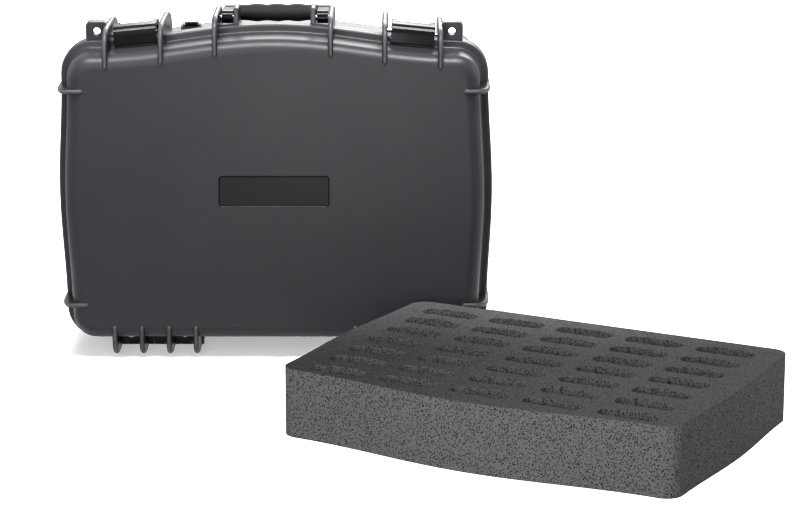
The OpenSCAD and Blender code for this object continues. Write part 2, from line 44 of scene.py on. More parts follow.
cameraSettings = dict(place=(0.146, -3.2, 0.906), pitch=14.0, lens=124.92, sensor=36.0,
                      farthest=60.0)
lampSettings = [
    # name, place, aim, width, height, power, spread
    ("keyLamp", (-0.8, -2.7, 1.35), (0.15, -0.1, 0.2), 0.5, 1.2, 27.0, 180),
    ("topStrip", (0.1, -0.25, 1.0), (0.1, -0.05, 0.37), 1.4, 0.1, 3.0, 40),
    ("frontStrip", (0.05, -1.25, 0.2), (0.0, 0.0, 0.22), 0.07, 0.36, 3.0, 180),
    ("rightStrip", (1.9, 0.2, 0.7), (0.2, 0.1, 0.2), 0.3, 1.1, 7.0, 180),
    ("leftStrip", (-1.7, 0.3, 0.7), (-0.2, 0.1, 0.2), 0.3, 1.1, 6.0, 180),
    ("backLamp", (0.3, 2.1, 1.3), (0.1, 0.0, 0.25), 1.6, 1.0, 42.0, 180),
]
worldSettings = dict(lightStrength=0.25, seenStrength=1.0)
# clearShare thins the shadow, the under values find a piece that lies below the floor
floorSettings = dict(halfSize=6.0, height=-0.0004, tone=0.93, rough=0.9, clearShare=0.4,
                     underReach=0.8, underSamples=24, underLeast=0.99)


def rangeOut(tree, source, low, high, fromLow=0.0, fromHigh=1.0):
    node = tree.nodes.new("ShaderNodeMapRange")
    for key, value in (("From Min", fromLow), ("From Max", fromHigh),
                       ("To Min", low), ("To Max", high)):
        node.inputs[key].default_value = value
    tree.links.new(source, node.inputs["Value"])
    return node.outputs["Result"]


def makeCamera(settings):
    data = bpy.data.cameras.new("photoCamera")
    data.sensor_width = settings["sensor"]
    data.lens = settings["lens"]
    data.clip_end = settings["farthest"]
    camera = bpy.data.objects.new("photoCamera", data)
    bpy.context.scene.collection.objects.link(camera)
    camera.location = settings["place"]
    camera.rotation_euler = (math.radians(90.0 - settings["pitch"]), 0.0, 0.0)
    bpy.context.scene.camera = camera


def makeLamps(lamps):
    for name, place, aim, width, height, power, spread in lamps:
        data = bpy.data.lights.new(name, "AREA")
        data.shape = "RECTANGLE"
        data.size = width
        data.size_y = height
        data.energy = power
        data.spread = math.radians(spread)
        lamp = bpy.data.objects.new(name, data)
        lamp.visible_camera = False
        bpy.context.scene.collection.objects.link(lamp)
        lamp.location = place
        lamp.rotation_euler = (Vector(aim) - Vector(place)).to_track_quat("-Z", "Y").to_euler()


def makeWorld(settings):
    world = bpy.data.worlds.new("studioWorld")
    bpy.context.scene.world = world
    world.use_nodes = True
    tree = world.node_tree
    tree.nodes.clear()
    path = tree.nodes.new("ShaderNodeLightPath")
    seen = path.outputs["Is Camera Ray"]
    for ray in ("Is Glossy Ray", "Is Transmission Ray"):
        either = tree.nodes.new("ShaderNodeMath")
        either.operation = "MAXIMUM"
        tree.links.new(seen, either.inputs[0])
        tree.links.new(path.outputs[ray], either.inputs[1])
        seen = either.outputs[0]
    mix = tree.nodes.new("ShaderNodeMixShader")
    tree.links.new(seen, mix.inputs[0])
    for socket, strength in ((1, settings["lightStrength"]), (2, settings["seenStrength"])):
        light = tree.nodes.new("ShaderNodeBackground")
        light.inputs["Color"].default_value = (1.0, 1.0, 1.0, 1.0)
        light.inputs["Strength"].default_value = strength
        tree.links.new(light.outputs[0], mix.inputs[socket])
    out = tree.nodes.new("ShaderNodeOutputWorld")
    tree.links.new(mix.outputs[0], out.inputs["Surface"])


def makeFloor(settings):
    half = settings["halfSize"]
    mesh = bpy.data.meshes.new("studioFloor")
    corners = [(-half, -half), (half, -half), (half, half), (-half, half)]
    mesh.from_pydata([(x, y, settings["height"]) for x, y in corners], [], [(0, 1, 2, 3)])
    floor = bpy.data.objects.new("studioFloor", mesh)
    bpy.context.scene.collection.objects.link(floor)
    material = bpy.data.materials.new("floorWhite")
    material.use_nodes = True
    tree = material.node_tree
    shader = tree.nodes["Principled BSDF"]
    shader.inputs["Base Color"].default_value = (*[settings["tone"]] * 3, 1.0)
    shader.inputs["Roughness"].default_value = settings["rough"]
    clear = tree.nodes.new("ShaderNodeBsdfTransparent")
    under = tree.nodes.new("ShaderNodeAmbientOcclusion")  # open over the base as it swings down
    under.inside = True
    under.samples = settings["underSamples"]
    under.inputs["Distance"].default_value = settings["underReach"]
    mix = tree.nodes.new("ShaderNodeMixShader")
    share = rangeOut(tree, under.outputs["AO"], 1.0, settings["clearShare"],
                     settings["underLeast"], 1.0)
    tree.links.new(share, mix.inputs[0])
    tree.links.new(shader.outputs[0], mix.inputs[1])
    tree.links.new(clear.outputs[0], mix.inputs[2])
    tree.links.new(mix.outputs[0], tree.nodes["Material Output"].inputs["Surface"])
    mesh.materials.append(material)
    floor.is_shadow_catcher = True
    floor.visible_shadow = False


bpy.context.scene.view_settings.view_transform = "Standard"
makeCamera(cameraSettings)
makeLamps(lampSettings)
makeWorld(worldSettings)
makeFloor(floorSettings)
print("camera, lamps and floor made")


# Materials

def newMaterial(name):
    material = bpy.data.materials.new(name)
    material.use_nodes = True
    tree = material.node_tree
    return material, tree, tree.nodes["Principled BSDF"]


def addNode(tree, kind, **values):
    node = tree.nodes.new(kind)
    for key, value in values.items():
        if hasattr(node, key):
            setattr(node, key, value)
        else:
            node.inputs[key.replace("_", " ")].default_value = value
    return node


def mapped(tree, scale=(1.0, 1.0, 1.0)):
    place = tree.nodes.new("ShaderNodeTexCoord")
    stretch = tree.nodes.new("ShaderNodeMapping")
    stretch.inputs["Scale"].default_value = scale
    tree.links.new(place.outputs["Object"], stretch.inputs["Vector"])
    return stretch.outputs["Vector"]


def noiseOut(tree, vector, scale, detail=3.0, rough=0.5):
    node = addNode(tree, "ShaderNodeTexNoise", Scale=scale, Detail=detail, Roughness=rough)
    tree.links.new(vector, node.inputs["Vector"])
    return node.outputs["Fac"]


def rampOut(tree, source, stops):
    node = tree.nodes.new("ShaderNodeValToRGB")
    ramp = node.color_ramp
    while len(ramp.elements) < len(stops):
        ramp.elements.new(0.5)
    for element, (place, colour) in zip(ramp.elements, stops):
        element.position = place
        element.color = (*colour, 1.0)
    tree.links.new(source, node.inputs["Fac"])
    return node.outputs["Color"]


def bumpOut(tree, height, strength, distance):
    node = addNode(tree, "ShaderNodeBump", Strength=strength, Distance=distance)
    tree.links.new(height, node.inputs["Height"])
    return node.outputs["Normal"]


def mixOut(tree, factor, first, second):
    mix = tree.nodes.new("ShaderNodeMix")
    mix.data_type = "RGBA"
    tree.links.new(factor, mix.inputs["Factor"])
    for name, value in (("A", first), ("B", second)):
        if isinstance(value, tuple):
            mix.inputs[name].default_value = (*value, 1.0)
        else:
            tree.links.new(value, mix.inputs[name])
    return mix.outputs["Result"]


def grey(value, blue=0.0):  # blue tints a cool plastic
    return (value, value * (1 + blue * 0.3), value * (1 + blue))


driftScale = 9.0  # slow change of tone over a surface
foamScale = dict(cells=1000.0, edges=1500.0)


# Moulded plastic with a fine grain; the crest tone, when given, is a painted highlight along the
# crests of the ribs
def plasticMaterial(name, tone, blue, rough, level, grainScale, grainHeight, crestHighlightTone=None):
    material, tree, shader = newMaterial(name)
    place = mapped(tree)
    drift = noiseOut(tree, place, driftScale, 4.0)
    grain = noiseOut(tree, place, grainScale, 3.0, 0.6)
    shade = rampOut(tree, drift, [(0.3, grey(tone * 0.9, blue)), (0.7, grey(tone * 1.08, blue))])
    fine = rampOut(tree, grain, [(0.35, grey(tone * 0.8, blue)), (0.65, grey(tone * 1.2, blue))])
    skinTone = mixOut(tree, rangeOut(tree, grain, 0.25, 0.45), shade, fine)
    # a lighter tone along the rib crests: a painted highlight that stands in for the lamps'
    # reflection there
    if crestHighlightTone:
        crestHighlight = addNode(tree, "ShaderNodeAttribute", attribute_name="crestHighlight")
        highlightShare = addNode(tree, "ShaderNodeMath", operation="MULTIPLY")
        tree.links.new(crestHighlight.outputs["Fac"], highlightShare.inputs[0])
        tree.links.new(rangeOut(tree, drift, 0.7, 1.0, 0.3, 0.7), highlightShare.inputs[1])
        skinTone = mixOut(tree, highlightShare.outputs[0], skinTone, grey(crestHighlightTone, blue))
    tree.links.new(skinTone, shader.inputs["Base Color"])
    tree.links.new(rangeOut(tree, drift, rough - 0.04, rough + 0.05, 0.3, 0.7),
                   shader.inputs["Roughness"])
    tree.links.new(bumpOut(tree, grain, 1.0, grainHeight), shader.inputs["Normal"])
    shader.inputs["Specular IOR Level"].default_value = level
    return material


def steelMaterial(name, tone, rough):
    material, tree, shader = newMaterial(name)
    place = mapped(tree, (40.0, 900.0, 900.0))  # drawn out along the pins
    lines = noiseOut(tree, place, 3.0, 2.0)
    shade = rampOut(tree, lines, [(0.3, grey(tone * 0.85)), (0.7, grey(tone))])
    tree.links.new(shade, shader.inputs["Base Color"])
    tree.links.new(rangeOut(tree, lines, rough - 0.06, rough + 0.08), shader.inputs["Roughness"])
    tree.links.new(bumpOut(tree, lines, 0.4, 0.00004), shader.inputs["Normal"])
    shader.inputs["Metallic"].default_value = 1.0
    return material


# Cell foam: a mottled grey with small dark pits, sharper on cut walls than on the skin
def foamMaterial(name, tone, spread, pitTone, pitSize, pitScale):
    material, tree, shader = newMaterial(name)
    place = mapped(tree)
    cells = noiseOut(tree, place, foamScale["cells"], 2.0, 0.6)
    edges = noiseOut(tree, place, foamScale["edges"], 1.0, 0.5)
    drift = noiseOut(tree, place, driftScale, 3.0)
    pits = addNode(tree, "ShaderNodeTexVoronoi", Scale=pitScale)
    tree.links.new(place, pits.inputs["Vector"])
    reach = addNode(tree, "ShaderNodeMath", operation="ADD")
    tree.links.new(pits.outputs["Distance"], reach.inputs[0])
    tree.links.new(rangeOut(tree, edges, -0.14, 0.14, 0.25, 0.75), reach.inputs[1])
    pit = rangeOut(tree, reach.outputs[0], 1.0, 0.0, pitSize - 0.06, pitSize + 0.06)
    body = rampOut(tree, cells, [(0.32, grey(tone * (1 - spread))),
                                 (0.68, grey(tone * (1 + spread)))])
    tree.links.new(mixOut(tree, pit, body, grey(pitTone)), shader.inputs["Base Color"])
    tree.links.new(rangeOut(tree, drift, 0.85, 0.98), shader.inputs["Roughness"])
    tree.links.new(bumpOut(tree, reach.outputs[0], 0.7, 0.0006), shader.inputs["Normal"])
    shader.inputs["Specular IOR Level"].default_value = 0.12
    return material


shellPlastic = plasticMaterial("shellPlastic", tone=0.0215, blue=0.22, rough=0.38, level=0.21,
                               grainScale=2600.0, grainHeight=0.00005)
# the ribs' crests get a painted highlight of this lighter tone
ribPlastic = plasticMaterial("ribPlastic", tone=0.006, blue=0.15, rough=0.30, level=0.14,
                             grainScale=1800.0, grainHeight=0.00001, crestHighlightTone=0.085)
platePlastic = plasticMaterial("platePlastic", tone=0.010, blue=-0.06, rough=0.33, level=0.12,
                               grainScale=900.0, grainHeight=0.00002)
glossPlastic = plasticMaterial("glossPlastic", tone=0.004, blue=0.0, rough=0.16, level=0.10,
                               grainScale=300.0, grainHeight=0.00001)
rubberBlack = plasticMaterial("rubberBlack", tone=0.012, blue=0.0, rough=0.62, level=0.25,
                              grainScale=1500.0, grainHeight=0.00006)
steelPin = steelMaterial("steelPin", tone=0.62, rough=0.28)
foamSkin = foamMaterial("foamSkin", tone=0.085, spread=0.5, pitTone=0.008, pitSize=0.30,
                        pitScale=330.0)
foamCut = foamMaterial("foamCut", tone=0.14, spread=0.34, pitTone=0.006, pitSize=0.35,
                       pitScale=470.0)
print("materials made")

# Finish and edge rounding in millimetres of each solid kept, the same on the left and right
nodeLooks = dict(
    lid_shell=(shellPlastic, 0.0), base_shell=(shellPlastic, 0.0), lid_pad=(foamSkin, 0.0),
    insert_block=(foamSkin, 0.0), insert_sheet=(foamSkin, 0.0),
    name_plate=(platePlastic, 0.4), lid_seal=(rubberBlack, 0.5),
    valve_body=(glossPlastic, 0.5), valve_nut=(glossPlastic, 0.4), valve_cap=(steelPin, 0.4),
    hinge_leaf_lid=(glossPlastic, 0.4), hinge_leaf_base=(glossPlastic, 0.4),
    hinge_pin=(steelPin, 0.4), hinge_screws_lid=(steelPin, 0.5), hinge_screws_base=(steelPin, 0.5),
    latch_lever=(glossPlastic, 0.8), latch_link=(glossPlastic, 0.9), latch_pivot=(steelPin, 0.4),
    link_pin=(steelPin, 0.4), handle_frame=(glossPlastic, 1.6), handle_grip=(rubberBlack, 0.0),
    handle_pin=(steelPin, 0.4))


def roundEdges(piece, width, segments=3, angle=32.0):
    bevel = piece.modifiers.new("edgeRound", "BEVEL")
    bevel.width = width * mm
    bevel.segments = segments
    bevel.limit_method = "ANGLE"
    bevel.angle_limit = math.radians(angle)
    bevel.use_clamp_overlap = True
    bevel.miter_outer = "MITER_ARC"


def evenNormals(piece):  # keeps flat faces flat beside their rounded edges
    weighted = piece.modifiers.new("evenNormals", "WEIGHTED_NORMAL")
    weighted.keep_sharp = True
    weighted.weight = 80


def dressNodes(looks):
    for name, node in nodes.items():
        material, edge = looks[name.removesuffix("_left").removesuffix("_right")]
        if not node.material_slots:
            node.data.materials.append(material)
        for slot in node.material_slots:
            slot.material = material
        if edge:
            weld = node.modifiers.new("oneSkin", "WELD")  # so that the rounding meets at corners
            weld.merge_threshold = 0.00001
            roundEdges(node, edge)
            evenNormals(node)


dressNodes(nodeLooks)
print("nodes dressed")


# A skin is a list of points in millimetres with its faces, finishes and the share of painted
# highlight on rib crests

def newSkin():
    return dict(points=[], faces=[], finishes=[], crestHighlight=[])


def addSkin(skin, points, faces, place=None, finish=0, crestHighlight=None):
    start = len(skin["points"])
    skin["crestHighlight"] += crestHighlight or [0.0] * len(points)
    skin["points"] += [place(p) if place else p for p in points]
    skin["faces"] += [[start + i for i in face] for face in faces]
    skin["finishes"] += [finish] * len(faces)


def newPiece(name, skin, materials, smoothAngle=35.0):
    mesh = bpy.data.meshes.new(name)
    mesh.from_pydata([Vector(p) * mm for p in skin["points"]], [], skin["faces"])
    for material in materials:
        mesh.materials.append(material)
    mesh.polygons.foreach_set("material_index", skin["finishes"])
    # per-point share of the painted highlight on the rib crests
    mesh.attributes.new("crestHighlight", "FLOAT", "POINT").data.foreach_set("value", skin["crestHighlight"])
    work = bmesh.new()
    work.from_mesh(mesh)
    bmesh.ops.remove_doubles(work, verts=work.verts, dist=1e-6)
    bmesh.ops.recalc_face_normals(work, faces=work.faces)
    work.to_mesh(mesh)
    work.free()
    mesh.shade_smooth()
    mesh.set_sharp_from_angle(angle=math.radians(smoothAngle))
    piece = bpy.data.objects.new(name, mesh)
    bpy.context.scene.collection.objects.link(piece)
    return piece


# Four-sided faces between rows of count points, each row closed on itself
def rowFaces(count, rows, start=0):
    faces = []
    for k in range(rows - 1):
        for j in range(count):
            i = (j + 1) % count
            faces.append([start + k * count + j, start + k * count + i,
                          start + (k + 1) * count + i, start + (k + 1) * count + j])
    return faces


# Points and faces of a flat cap inside the first loop, open inside the others
def capFaces(loops):
    work = bmesh.new()
    edges = []
    for loop in loops:
        corners = [work.verts.new((x, y, 0.0)) for x, y in loop]
        edges += [work.edges.new((corners[k - 1], corners[k])) for k in range(len(corners))]
    bmesh.ops.triangle_fill(work, edges=edges, use_beauty=True)
    work.verts.index_update()
    points = [(v.co.x, v.co.y) for v in work.verts]
    faces = [[v.index for v in face.verts] for face in work.faces]
    work.free()
    return points, faces


def circleLoop(cx, cy, radius, steps):
    return [(cx + radius * math.cos(2 * math.pi * k / steps),
             cy + radius * math.sin(2 * math.pi * k / steps)) for k in range(steps)]


# A turned form: rings of [radius, height], closed flat at both ends
def turnedSkin(rings, steps=32):
    points = [(x, y, h) for r, h in rings for x, y in circleLoop(0, 0, r, steps)]
    faces = rowFaces(steps, len(rings))
    last = (len(rings) - 1) * steps
    return points, faces + [list(range(steps)), [last + k for k in range(steps)]]


# Outline shared by the shells and the foam

caseForm = dict(halfWidth=248.5, sideBulge=5.5, cornerRadius=38.0, rimLow=12.5, rimHigh=369.5,
                crownHeight=19.0, leastCorner=10.0)
caseMiddle = (caseForm["rimLow"] + caseForm["rimHigh"]) / 2
crownRun = caseForm["halfWidth"] - caseForm["cornerRadius"]
bulgeRun = (caseForm["rimHigh"] - caseForm["rimLow"]) / 2 - caseForm["cornerRadius"]


# How far the top stands up and the sides stand out at a point along them
def crownAt(x):
    if abs(x) >= crownRun:
        return 0.0
    return caseForm["crownHeight"] / 2 * (1 + math.cos(math.pi * x / crownRun))


def bulgeAt(offset):
    if abs(offset) >= bulgeRun:
        return 0.0
    return caseForm["sideBulge"] / 2 * (1 + math.cos(math.pi * offset / bulgeRun))


def rimTop(x):
    return caseForm["rimHigh"] + crownAt(x)


def sideX(z):
    return caseForm["halfWidth"] + bulgeAt(z - caseMiddle)


def caseOutline(inset, cornerSteps=10, sideSteps=16, crownSteps=44):
    half = caseForm["halfWidth"] - inset
    corner = max(caseForm["cornerRadius"] - inset, caseForm["leastCorner"])
    centreX = half - corner
    low = caseForm["rimLow"] + inset + corner
    high = caseForm["rimHigh"] - inset - corner
    loop = []

    def arc(cx, cz, start):
        for k in range(cornerSteps + 1):
            turn = math.radians(start + 90 * k / cornerSteps)
            loop.append((cx + corner * math.cos(turn), cz + corner * math.sin(turn)))

    def between(first, last, steps):
        return [first + (last - first) * k / steps for k in range(1, steps)]

    arc(centreX, low, -90)
    loop += [(half + bulgeAt(z - caseMiddle), z) for z in between(low, high, sideSteps)]
    arc(centreX, high, 0)
    loop += [(x, rimTop(x) - inset) for x in between(centreX, -centreX, crownSteps)]
    arc(-centreX, high, 90)
    loop += [(-half - bulgeAt(z - caseMiddle), z) for z in between(high, low, sideSteps)]
    arc(-centreX, low, 180)
    return loop


def roundedLoop(cx, cy, length, width, radius, steps=6):
    loop = []
    for sx, sy, start in ((1, -1, -90), (1, 1, 0), (-1, 1, 90), (-1, -1, 180)):
        for k in range(steps + 1):
            turn = math.radians(start + 90 * k / steps)
            loop.append((cx + sx * (length / 2 - radius) + radius * math.cos(turn),
                         cy + sy * (width / 2 - radius) + radius * math.sin(turn)))
    return loop


# Lid and base shells

shellForm = dict(partGap=0.2, rimThick=12.0, rimRound=2.4, rimWidth=8.5, wall=4.0, draft=2.5,
                 edgeRound=16.0, grooveInset=5.4, grooveWidth=4.8, grooveDepth=4.6,
                 tongueGap=1.2, tongueHeight=1.2, tongueSlope=0.3,
                 partEdge=[(0.8, 0.0), (0.25, 0.3), (0.0, 1.1)])
lidForm = dict(depth=60.0, plateSize=(126.0, 34.5), plateRound=3.0, plateZ=200.5, recess=1.6,
               recessLip=1.6, lipCurve=[(1.0, 0.0), (0.75, 0.06), (0.5, 0.22), (0.3, 0.42),
                                        (0.1, 0.75)])
baseForm = dict(depth=140.0, padPlace=(173.5, 108.5), padRadius=15.0, padHeight=2.0,
                padSunk=1.0, padEdge=0.6, valvePlace=(-104.0, 100.0), bossRadius=13.0,
                bossHeight=3.0, bossEdge=0.5)
ribForm = dict(thick=6.0, proud=2.0, run=26.0, lidFar=62.0, topHeight=19.5, topReach=26.5,
               sideHeight=1.5, sideReach=30.0, sidePitch=127.0, baseFar=80.0, handleFar=56.0,
               footRun=88.0, footFar=112.0, hingeX=141.0, hingePitch=31.7, latchX=160.6,
               latchPitch=64.0, outerPitch=133.0, innerPitch=89.6, fullness=0.75, tipRound=4.0,
               sunk=0.6, crestSteps=24, tipSteps=6, sliceSteps=12, boreSteps=24)
earForm = dict(x=206.4, width=24.7, low=350.5, holeZ=379.7, lidHole=4.75, baseHole=5.75,
               top=390.45, round=5.0, thick=7.0, edge=0.8)
catchForm = dict(width=52.0, near=6.0, far=15.4, low=-10.5, high=-0.8, edge=1.0)
handlePin = dict(depth=20.0, height=392.193, radius=2.55)


def drawnIn(depth):  # the draft of the outer wall
    return depth * math.tan(math.radians(shellForm["draft"]))


def ringArc(cx, cy, radius, start, end, steps):
    turns = [math.radians(start + (end - start) * k / steps) for k in range(steps + 1)]
    return [(cx - radius * math.cos(a), cy + radius * math.sin(a)) for a in turns]


# Rings of [inset, depth] from the parting face over the rim and wall to the outer face
def outerProfile(depth):
    form = shellForm
    edge, width, thick, gap = form["rimRound"], form["rimWidth"], form["rimThick"], form["partGap"]
    wallFoot = thick + edge * 1.5
    centre = width + drawnIn(depth - form["edgeRound"]) + form["edgeRound"]
    rings = [(inset, gap + depth) for inset, depth in form["partEdge"]]
    rings += ringArc(edge, thick - edge, edge, 0, 90, 5)
    start, bend = (5.5, thick + 0.5), (width + 0.1, thick + 1.0)
    end = (width + drawnIn(wallFoot), wallFoot)
    for t in (0.0, 0.2, 0.4, 0.6, 0.8, 1.0):  # the hollow under the rim
        rings.append(tuple((1 - t) ** 2 * a + 2 * t * (1 - t) * b + t * t * c
                           for a, b, c in zip(start, bend, end)))
    return rings + ringArc(centre, depth - form["edgeRound"], form["edgeRound"], 0, 90, 12)


def innerProfile(depth):
    form = shellForm
    radius = form["edgeRound"] - form["wall"]
    centre = form["rimWidth"] + form["wall"] + drawnIn(depth - form["edgeRound"]) + radius
    rings = [(form["rimWidth"] + form["wall"], form["partGap"])]
    return rings + ringArc(centre, depth - form["edgeRound"], radius, 0, 90, 6)


# Seal groove of the lid, or the tongue of the base that presses into it
def partingProfile(hasGroove):
    form = shellForm
    near, gap = form["grooveInset"], form["partGap"]
    far = near + form["grooveWidth"]
    if hasGroove:
        return [(far, gap), (far, form["grooveDepth"]), (near, form["grooveDepth"]), (near, gap)]
    near, far = near + form["tongueGap"], far - form["tongueGap"]
    slope, tip = form["tongueSlope"], -form["tongueHeight"]
    return [(far, gap), (far - slope, tip), (near + slope, tip), (near, gap)]


def plateLoop(form, grow):
    width, height = form["plateSize"]
    return roundedLoop(0.0, form["plateZ"], width + 2 * grow, height + 2 * grow,
                       form["plateRound"] + grow, 8)


def addShell(skin, form, side, hasGroove):
    depth = form["depth"]
    rings = innerProfile(depth)[::-1] + partingProfile(hasGroove) + outerProfile(depth)
    loops = [caseOutline(inset) for inset, d in rings]
    points = [(x, side * d, z) for (inset, d), loop in zip(rings, loops) for x, z in loop]
    addSkin(skin, points, rowFaces(len(loops[0]), len(rings)))
    flat, faces = capFaces([loops[0]])
    addSkin(skin, [(x, side * rings[0][1], z) for x, z in flat], faces)
    if "plateSize" not in form:
        flat, faces = capFaces([loops[-1]])
        addSkin(skin, [(x, side * depth, z) for x, z in flat], faces)
        return
    lip = form["recessLip"]
    steps = [(lip * grow, lip * down) for grow, down in form["lipCurve"]] + [(0.0, form["recess"])]
    recess = [plateLoop(form, grow) for grow, down in steps]
    flat, faces = capFaces([loops[-1], recess[0]])
    addSkin(skin, [(x, side * depth, z) for x, z in flat], faces)
    points = [(x, side * (depth - down), z) for (grow, down), loop in zip(steps, recess)
              for x, z in loop]
    count = len(recess[0])
    faces = rowFaces(count, len(steps)) + [[(len(steps) - 1) * count + j for j in range(count)]]
    addSkin(skin, points, faces, finish=1)


# The middle of the wall from a rib's tip back to its start: [depth, height] under the rim
def wallMiddle(start, far, reach, depth):
    form = shellForm
    middle, radius = form["wall"] / 2, form["edgeRound"]
    bend = depth - radius
    if far < bend:
        return [(d, -form["rimWidth"] - middle - drawnIn(d)) for d in (far, start)]
    centre = form["rimWidth"] + drawnIn(bend) + radius
    path = [(depth - middle, -reach)] if reach > centre else []
    for k in range(7):
        turn = math.pi / 2 * (6 - k) / 6
        path.append((bend + (radius - middle) * math.sin(turn),
                     -centre + (radius - middle) * math.cos(turn)))
    return path + [(start, -form["rimWidth"] - middle - drawnIn(start))]


# The rib's side view, drawn in by inset: over the rim, down to its tip and back inside the wall
def ribProfile(inset, start, run, far, top, low, tail, depth):
    form = ribForm
    loop = [(start, top - inset)]
    for k in range(form["crestSteps"] + 1):
        turn = math.pi / 2 * k / form["crestSteps"]
        loop.append((run + (far - inset - run) * math.sin(turn) ** form["fullness"],
                     -low + (top - inset + low) * math.cos(turn) ** form["fullness"]))
    floor, tip = far - form["proud"] - form["sunk"], form["tipRound"]
    if tail - low > tip:
        for k in range(form["tipSteps"] + 1):
            turn = math.pi / 2 * k / form["tipSteps"]
            loop.append((floor + max(far - inset - floor, 0.0) * math.cos(turn),
                         -(tail - tip) - max(tip - inset, 0.0) * math.sin(turn)))
    return loop + wallMiddle(start, floor, tail, depth)


# One rib with its rounded crest, flat flanks and, in the base, a bore for the handle's pin
def ribSkin(start, run, far, top, low, tail, depth, bore=None):
    half, steps, around = ribForm["thick"] / 2, ribForm["sliceSteps"], ribForm["boreSteps"]
    turns = [math.radians(-90 + 180 * k / steps) for k in range(steps + 1)]
    slices = [(half * math.sin(t), half * (1 - math.cos(t))) for t in turns]
    profiles = [ribProfile(inset, start, run, far, top, low, tail, depth) for x, inset in slices]
    points = [(x, d, h) for (x, inset), profile in zip(slices, profiles) for d, h in profile]
    # how much painted highlight each point gets: most along the middle of the crest, none on the
    # flanks
    crestHighlight = [math.cos(t) ** 3 for t in turns for point in profiles[0]]
    faces = rowFaces(len(profiles[0]), len(slices))
    loops = [profiles[0]]
    if bore:
        loops.append(circleLoop(*bore, around))
    flat, caps = capFaces(loops)
    for x in (-half, half):
        first = len(points)
        points += [(x, d, h) for d, h in flat]
        faces += [[first + i for i in face] for face in caps]
    if bore:
        first = len(points)
        points += [(x, d, h) for x in (-half, half) for d, h in loops[1]]
        faces += rowFaces(around, 2, first)
    return points, faces, crestHighlight + [0.0] * (len(points) - len(crestHighlight))


# Each rib is made upright, then put on the top, the bottom or a side of the rim
def addRibs(skin, side):
    form = ribForm
    isLid = side < 0
    rimLow, gap = caseForm["rimLow"], shellForm["partGap"]

    def rib(start, top, reach, run, far, bore=None):
        if isLid:
            return ribSkin(start, form["run"], form["lidFar"], top, reach / 2, reach,
                           lidForm["depth"])
        tail = shellForm["rimWidth"] + shellForm["wall"] / 2 + drawnIn(far)
        return ribSkin(start, run, far, top, tail, tail, baseForm["depth"], bore)

    def put(mesh, place):
        points, faces, crestHighlight = mesh
        addSkin(skin, points, faces, place, 1, crestHighlight)

    def onTop(x, mesh):
        put(mesh, lambda p: (x + p[0], side * p[1], rimTop(x) + p[2]))

    def onBottom(x, mesh):
        put(mesh, lambda p: (x - p[0], side * p[1], rimLow - p[2]))

    def onSide(hand, z, mesh):
        put(mesh, lambda p: (hand * (sideX(z) + p[2]), side * p[1], z - hand * p[0]))

    for hand in (-1, 1):
        for e in (-1, 1):
            onTop(hand * form["latchX"] + e * form["latchPitch"] / 2,
                  rib(gap, form["topHeight"], form["topReach"], form["run"], form["baseFar"]))
            onSide(hand, caseMiddle + e * form["sidePitch"],
                   rib(gap, form["sideHeight"], form["sideReach"], form["run"], form["baseFar"]))
        for k in (-1.5, -0.5, 0.5, 1.5):
            onBottom(hand * form["hingeX"] + k * form["hingePitch"],
                     rib(shellForm["rimThick"], rimLow, form["topReach"], form["footRun"],
                         form["footFar"]))
        for pitch in (form["outerPitch"],) if isLid else (form["outerPitch"], form["innerPitch"]):
            x = hand * pitch / 2
            bore = (handlePin["depth"], handlePin["height"] - rimTop(x), handlePin["radius"])
            onTop(x, rib(gap, form["topHeight"], form["topReach"], form["run"],
                         form["handleFar"], bore))


# Outline of a padlock ear: square at its foot, round at its top
def earLoop(form, grow):
    width, top, radius = form["width"] + 2 * grow, form["top"] + grow, form["round"] + grow
    loop = [(form["x"] - width / 2, form["low"]), (form["x"] + width / 2, form["low"])]
    for sx, start in ((1, 0), (-1, 90)):
        for k in range(9):
            turn = math.radians(start + 90 * k / 8)
            loop.append((form["x"] + sx * (width / 2 - radius) + radius * math.cos(turn),
                         top - radius + radius * math.sin(turn)))
    return loop


# Padlock ears, rounded on the face away from the parting line
def addEars(skin, side, holeRadius):
    form = earForm
    gap, thick, edge = shellForm["partGap"], form["thick"], form["edge"]
    levels = [(gap, 0.0), (thick - edge, 0.0), (thick - edge * 0.6, -edge * 0.1),
              (thick - edge * 0.2, -edge * 0.4), (thick, -edge)]
    hole = [(gap, 0.0), (thick - edge, 0.0), (thick, edge * 0.8)]
    outer = [earLoop(form, grow) for depth, grow in levels]
    inner = [circleLoop(form["x"], form["holeZ"], holeRadius + grow, 36) for depth, grow in hole]
    parts = []
    for rows, loops in ((levels, outer), (hole, inner)):
        points = [(x, d, z) for (d, grow), loop in zip(rows, loops) for x, z in loop]
        parts.append((points, rowFaces(len(loops[0]), len(rows))))
    for depth, loops in ((gap, [outer[0], inner[0]]), (thick, [outer[-1], inner[-1]])):
        flat, caps = capFaces(loops)
        parts.append(([(x, depth, z) for x, z in flat], caps))
    for hand in (-1, 1):
        for points, faces in parts:
            addSkin(skin, points, faces, lambda p: (hand * p[0], side * p[1], p[2]))


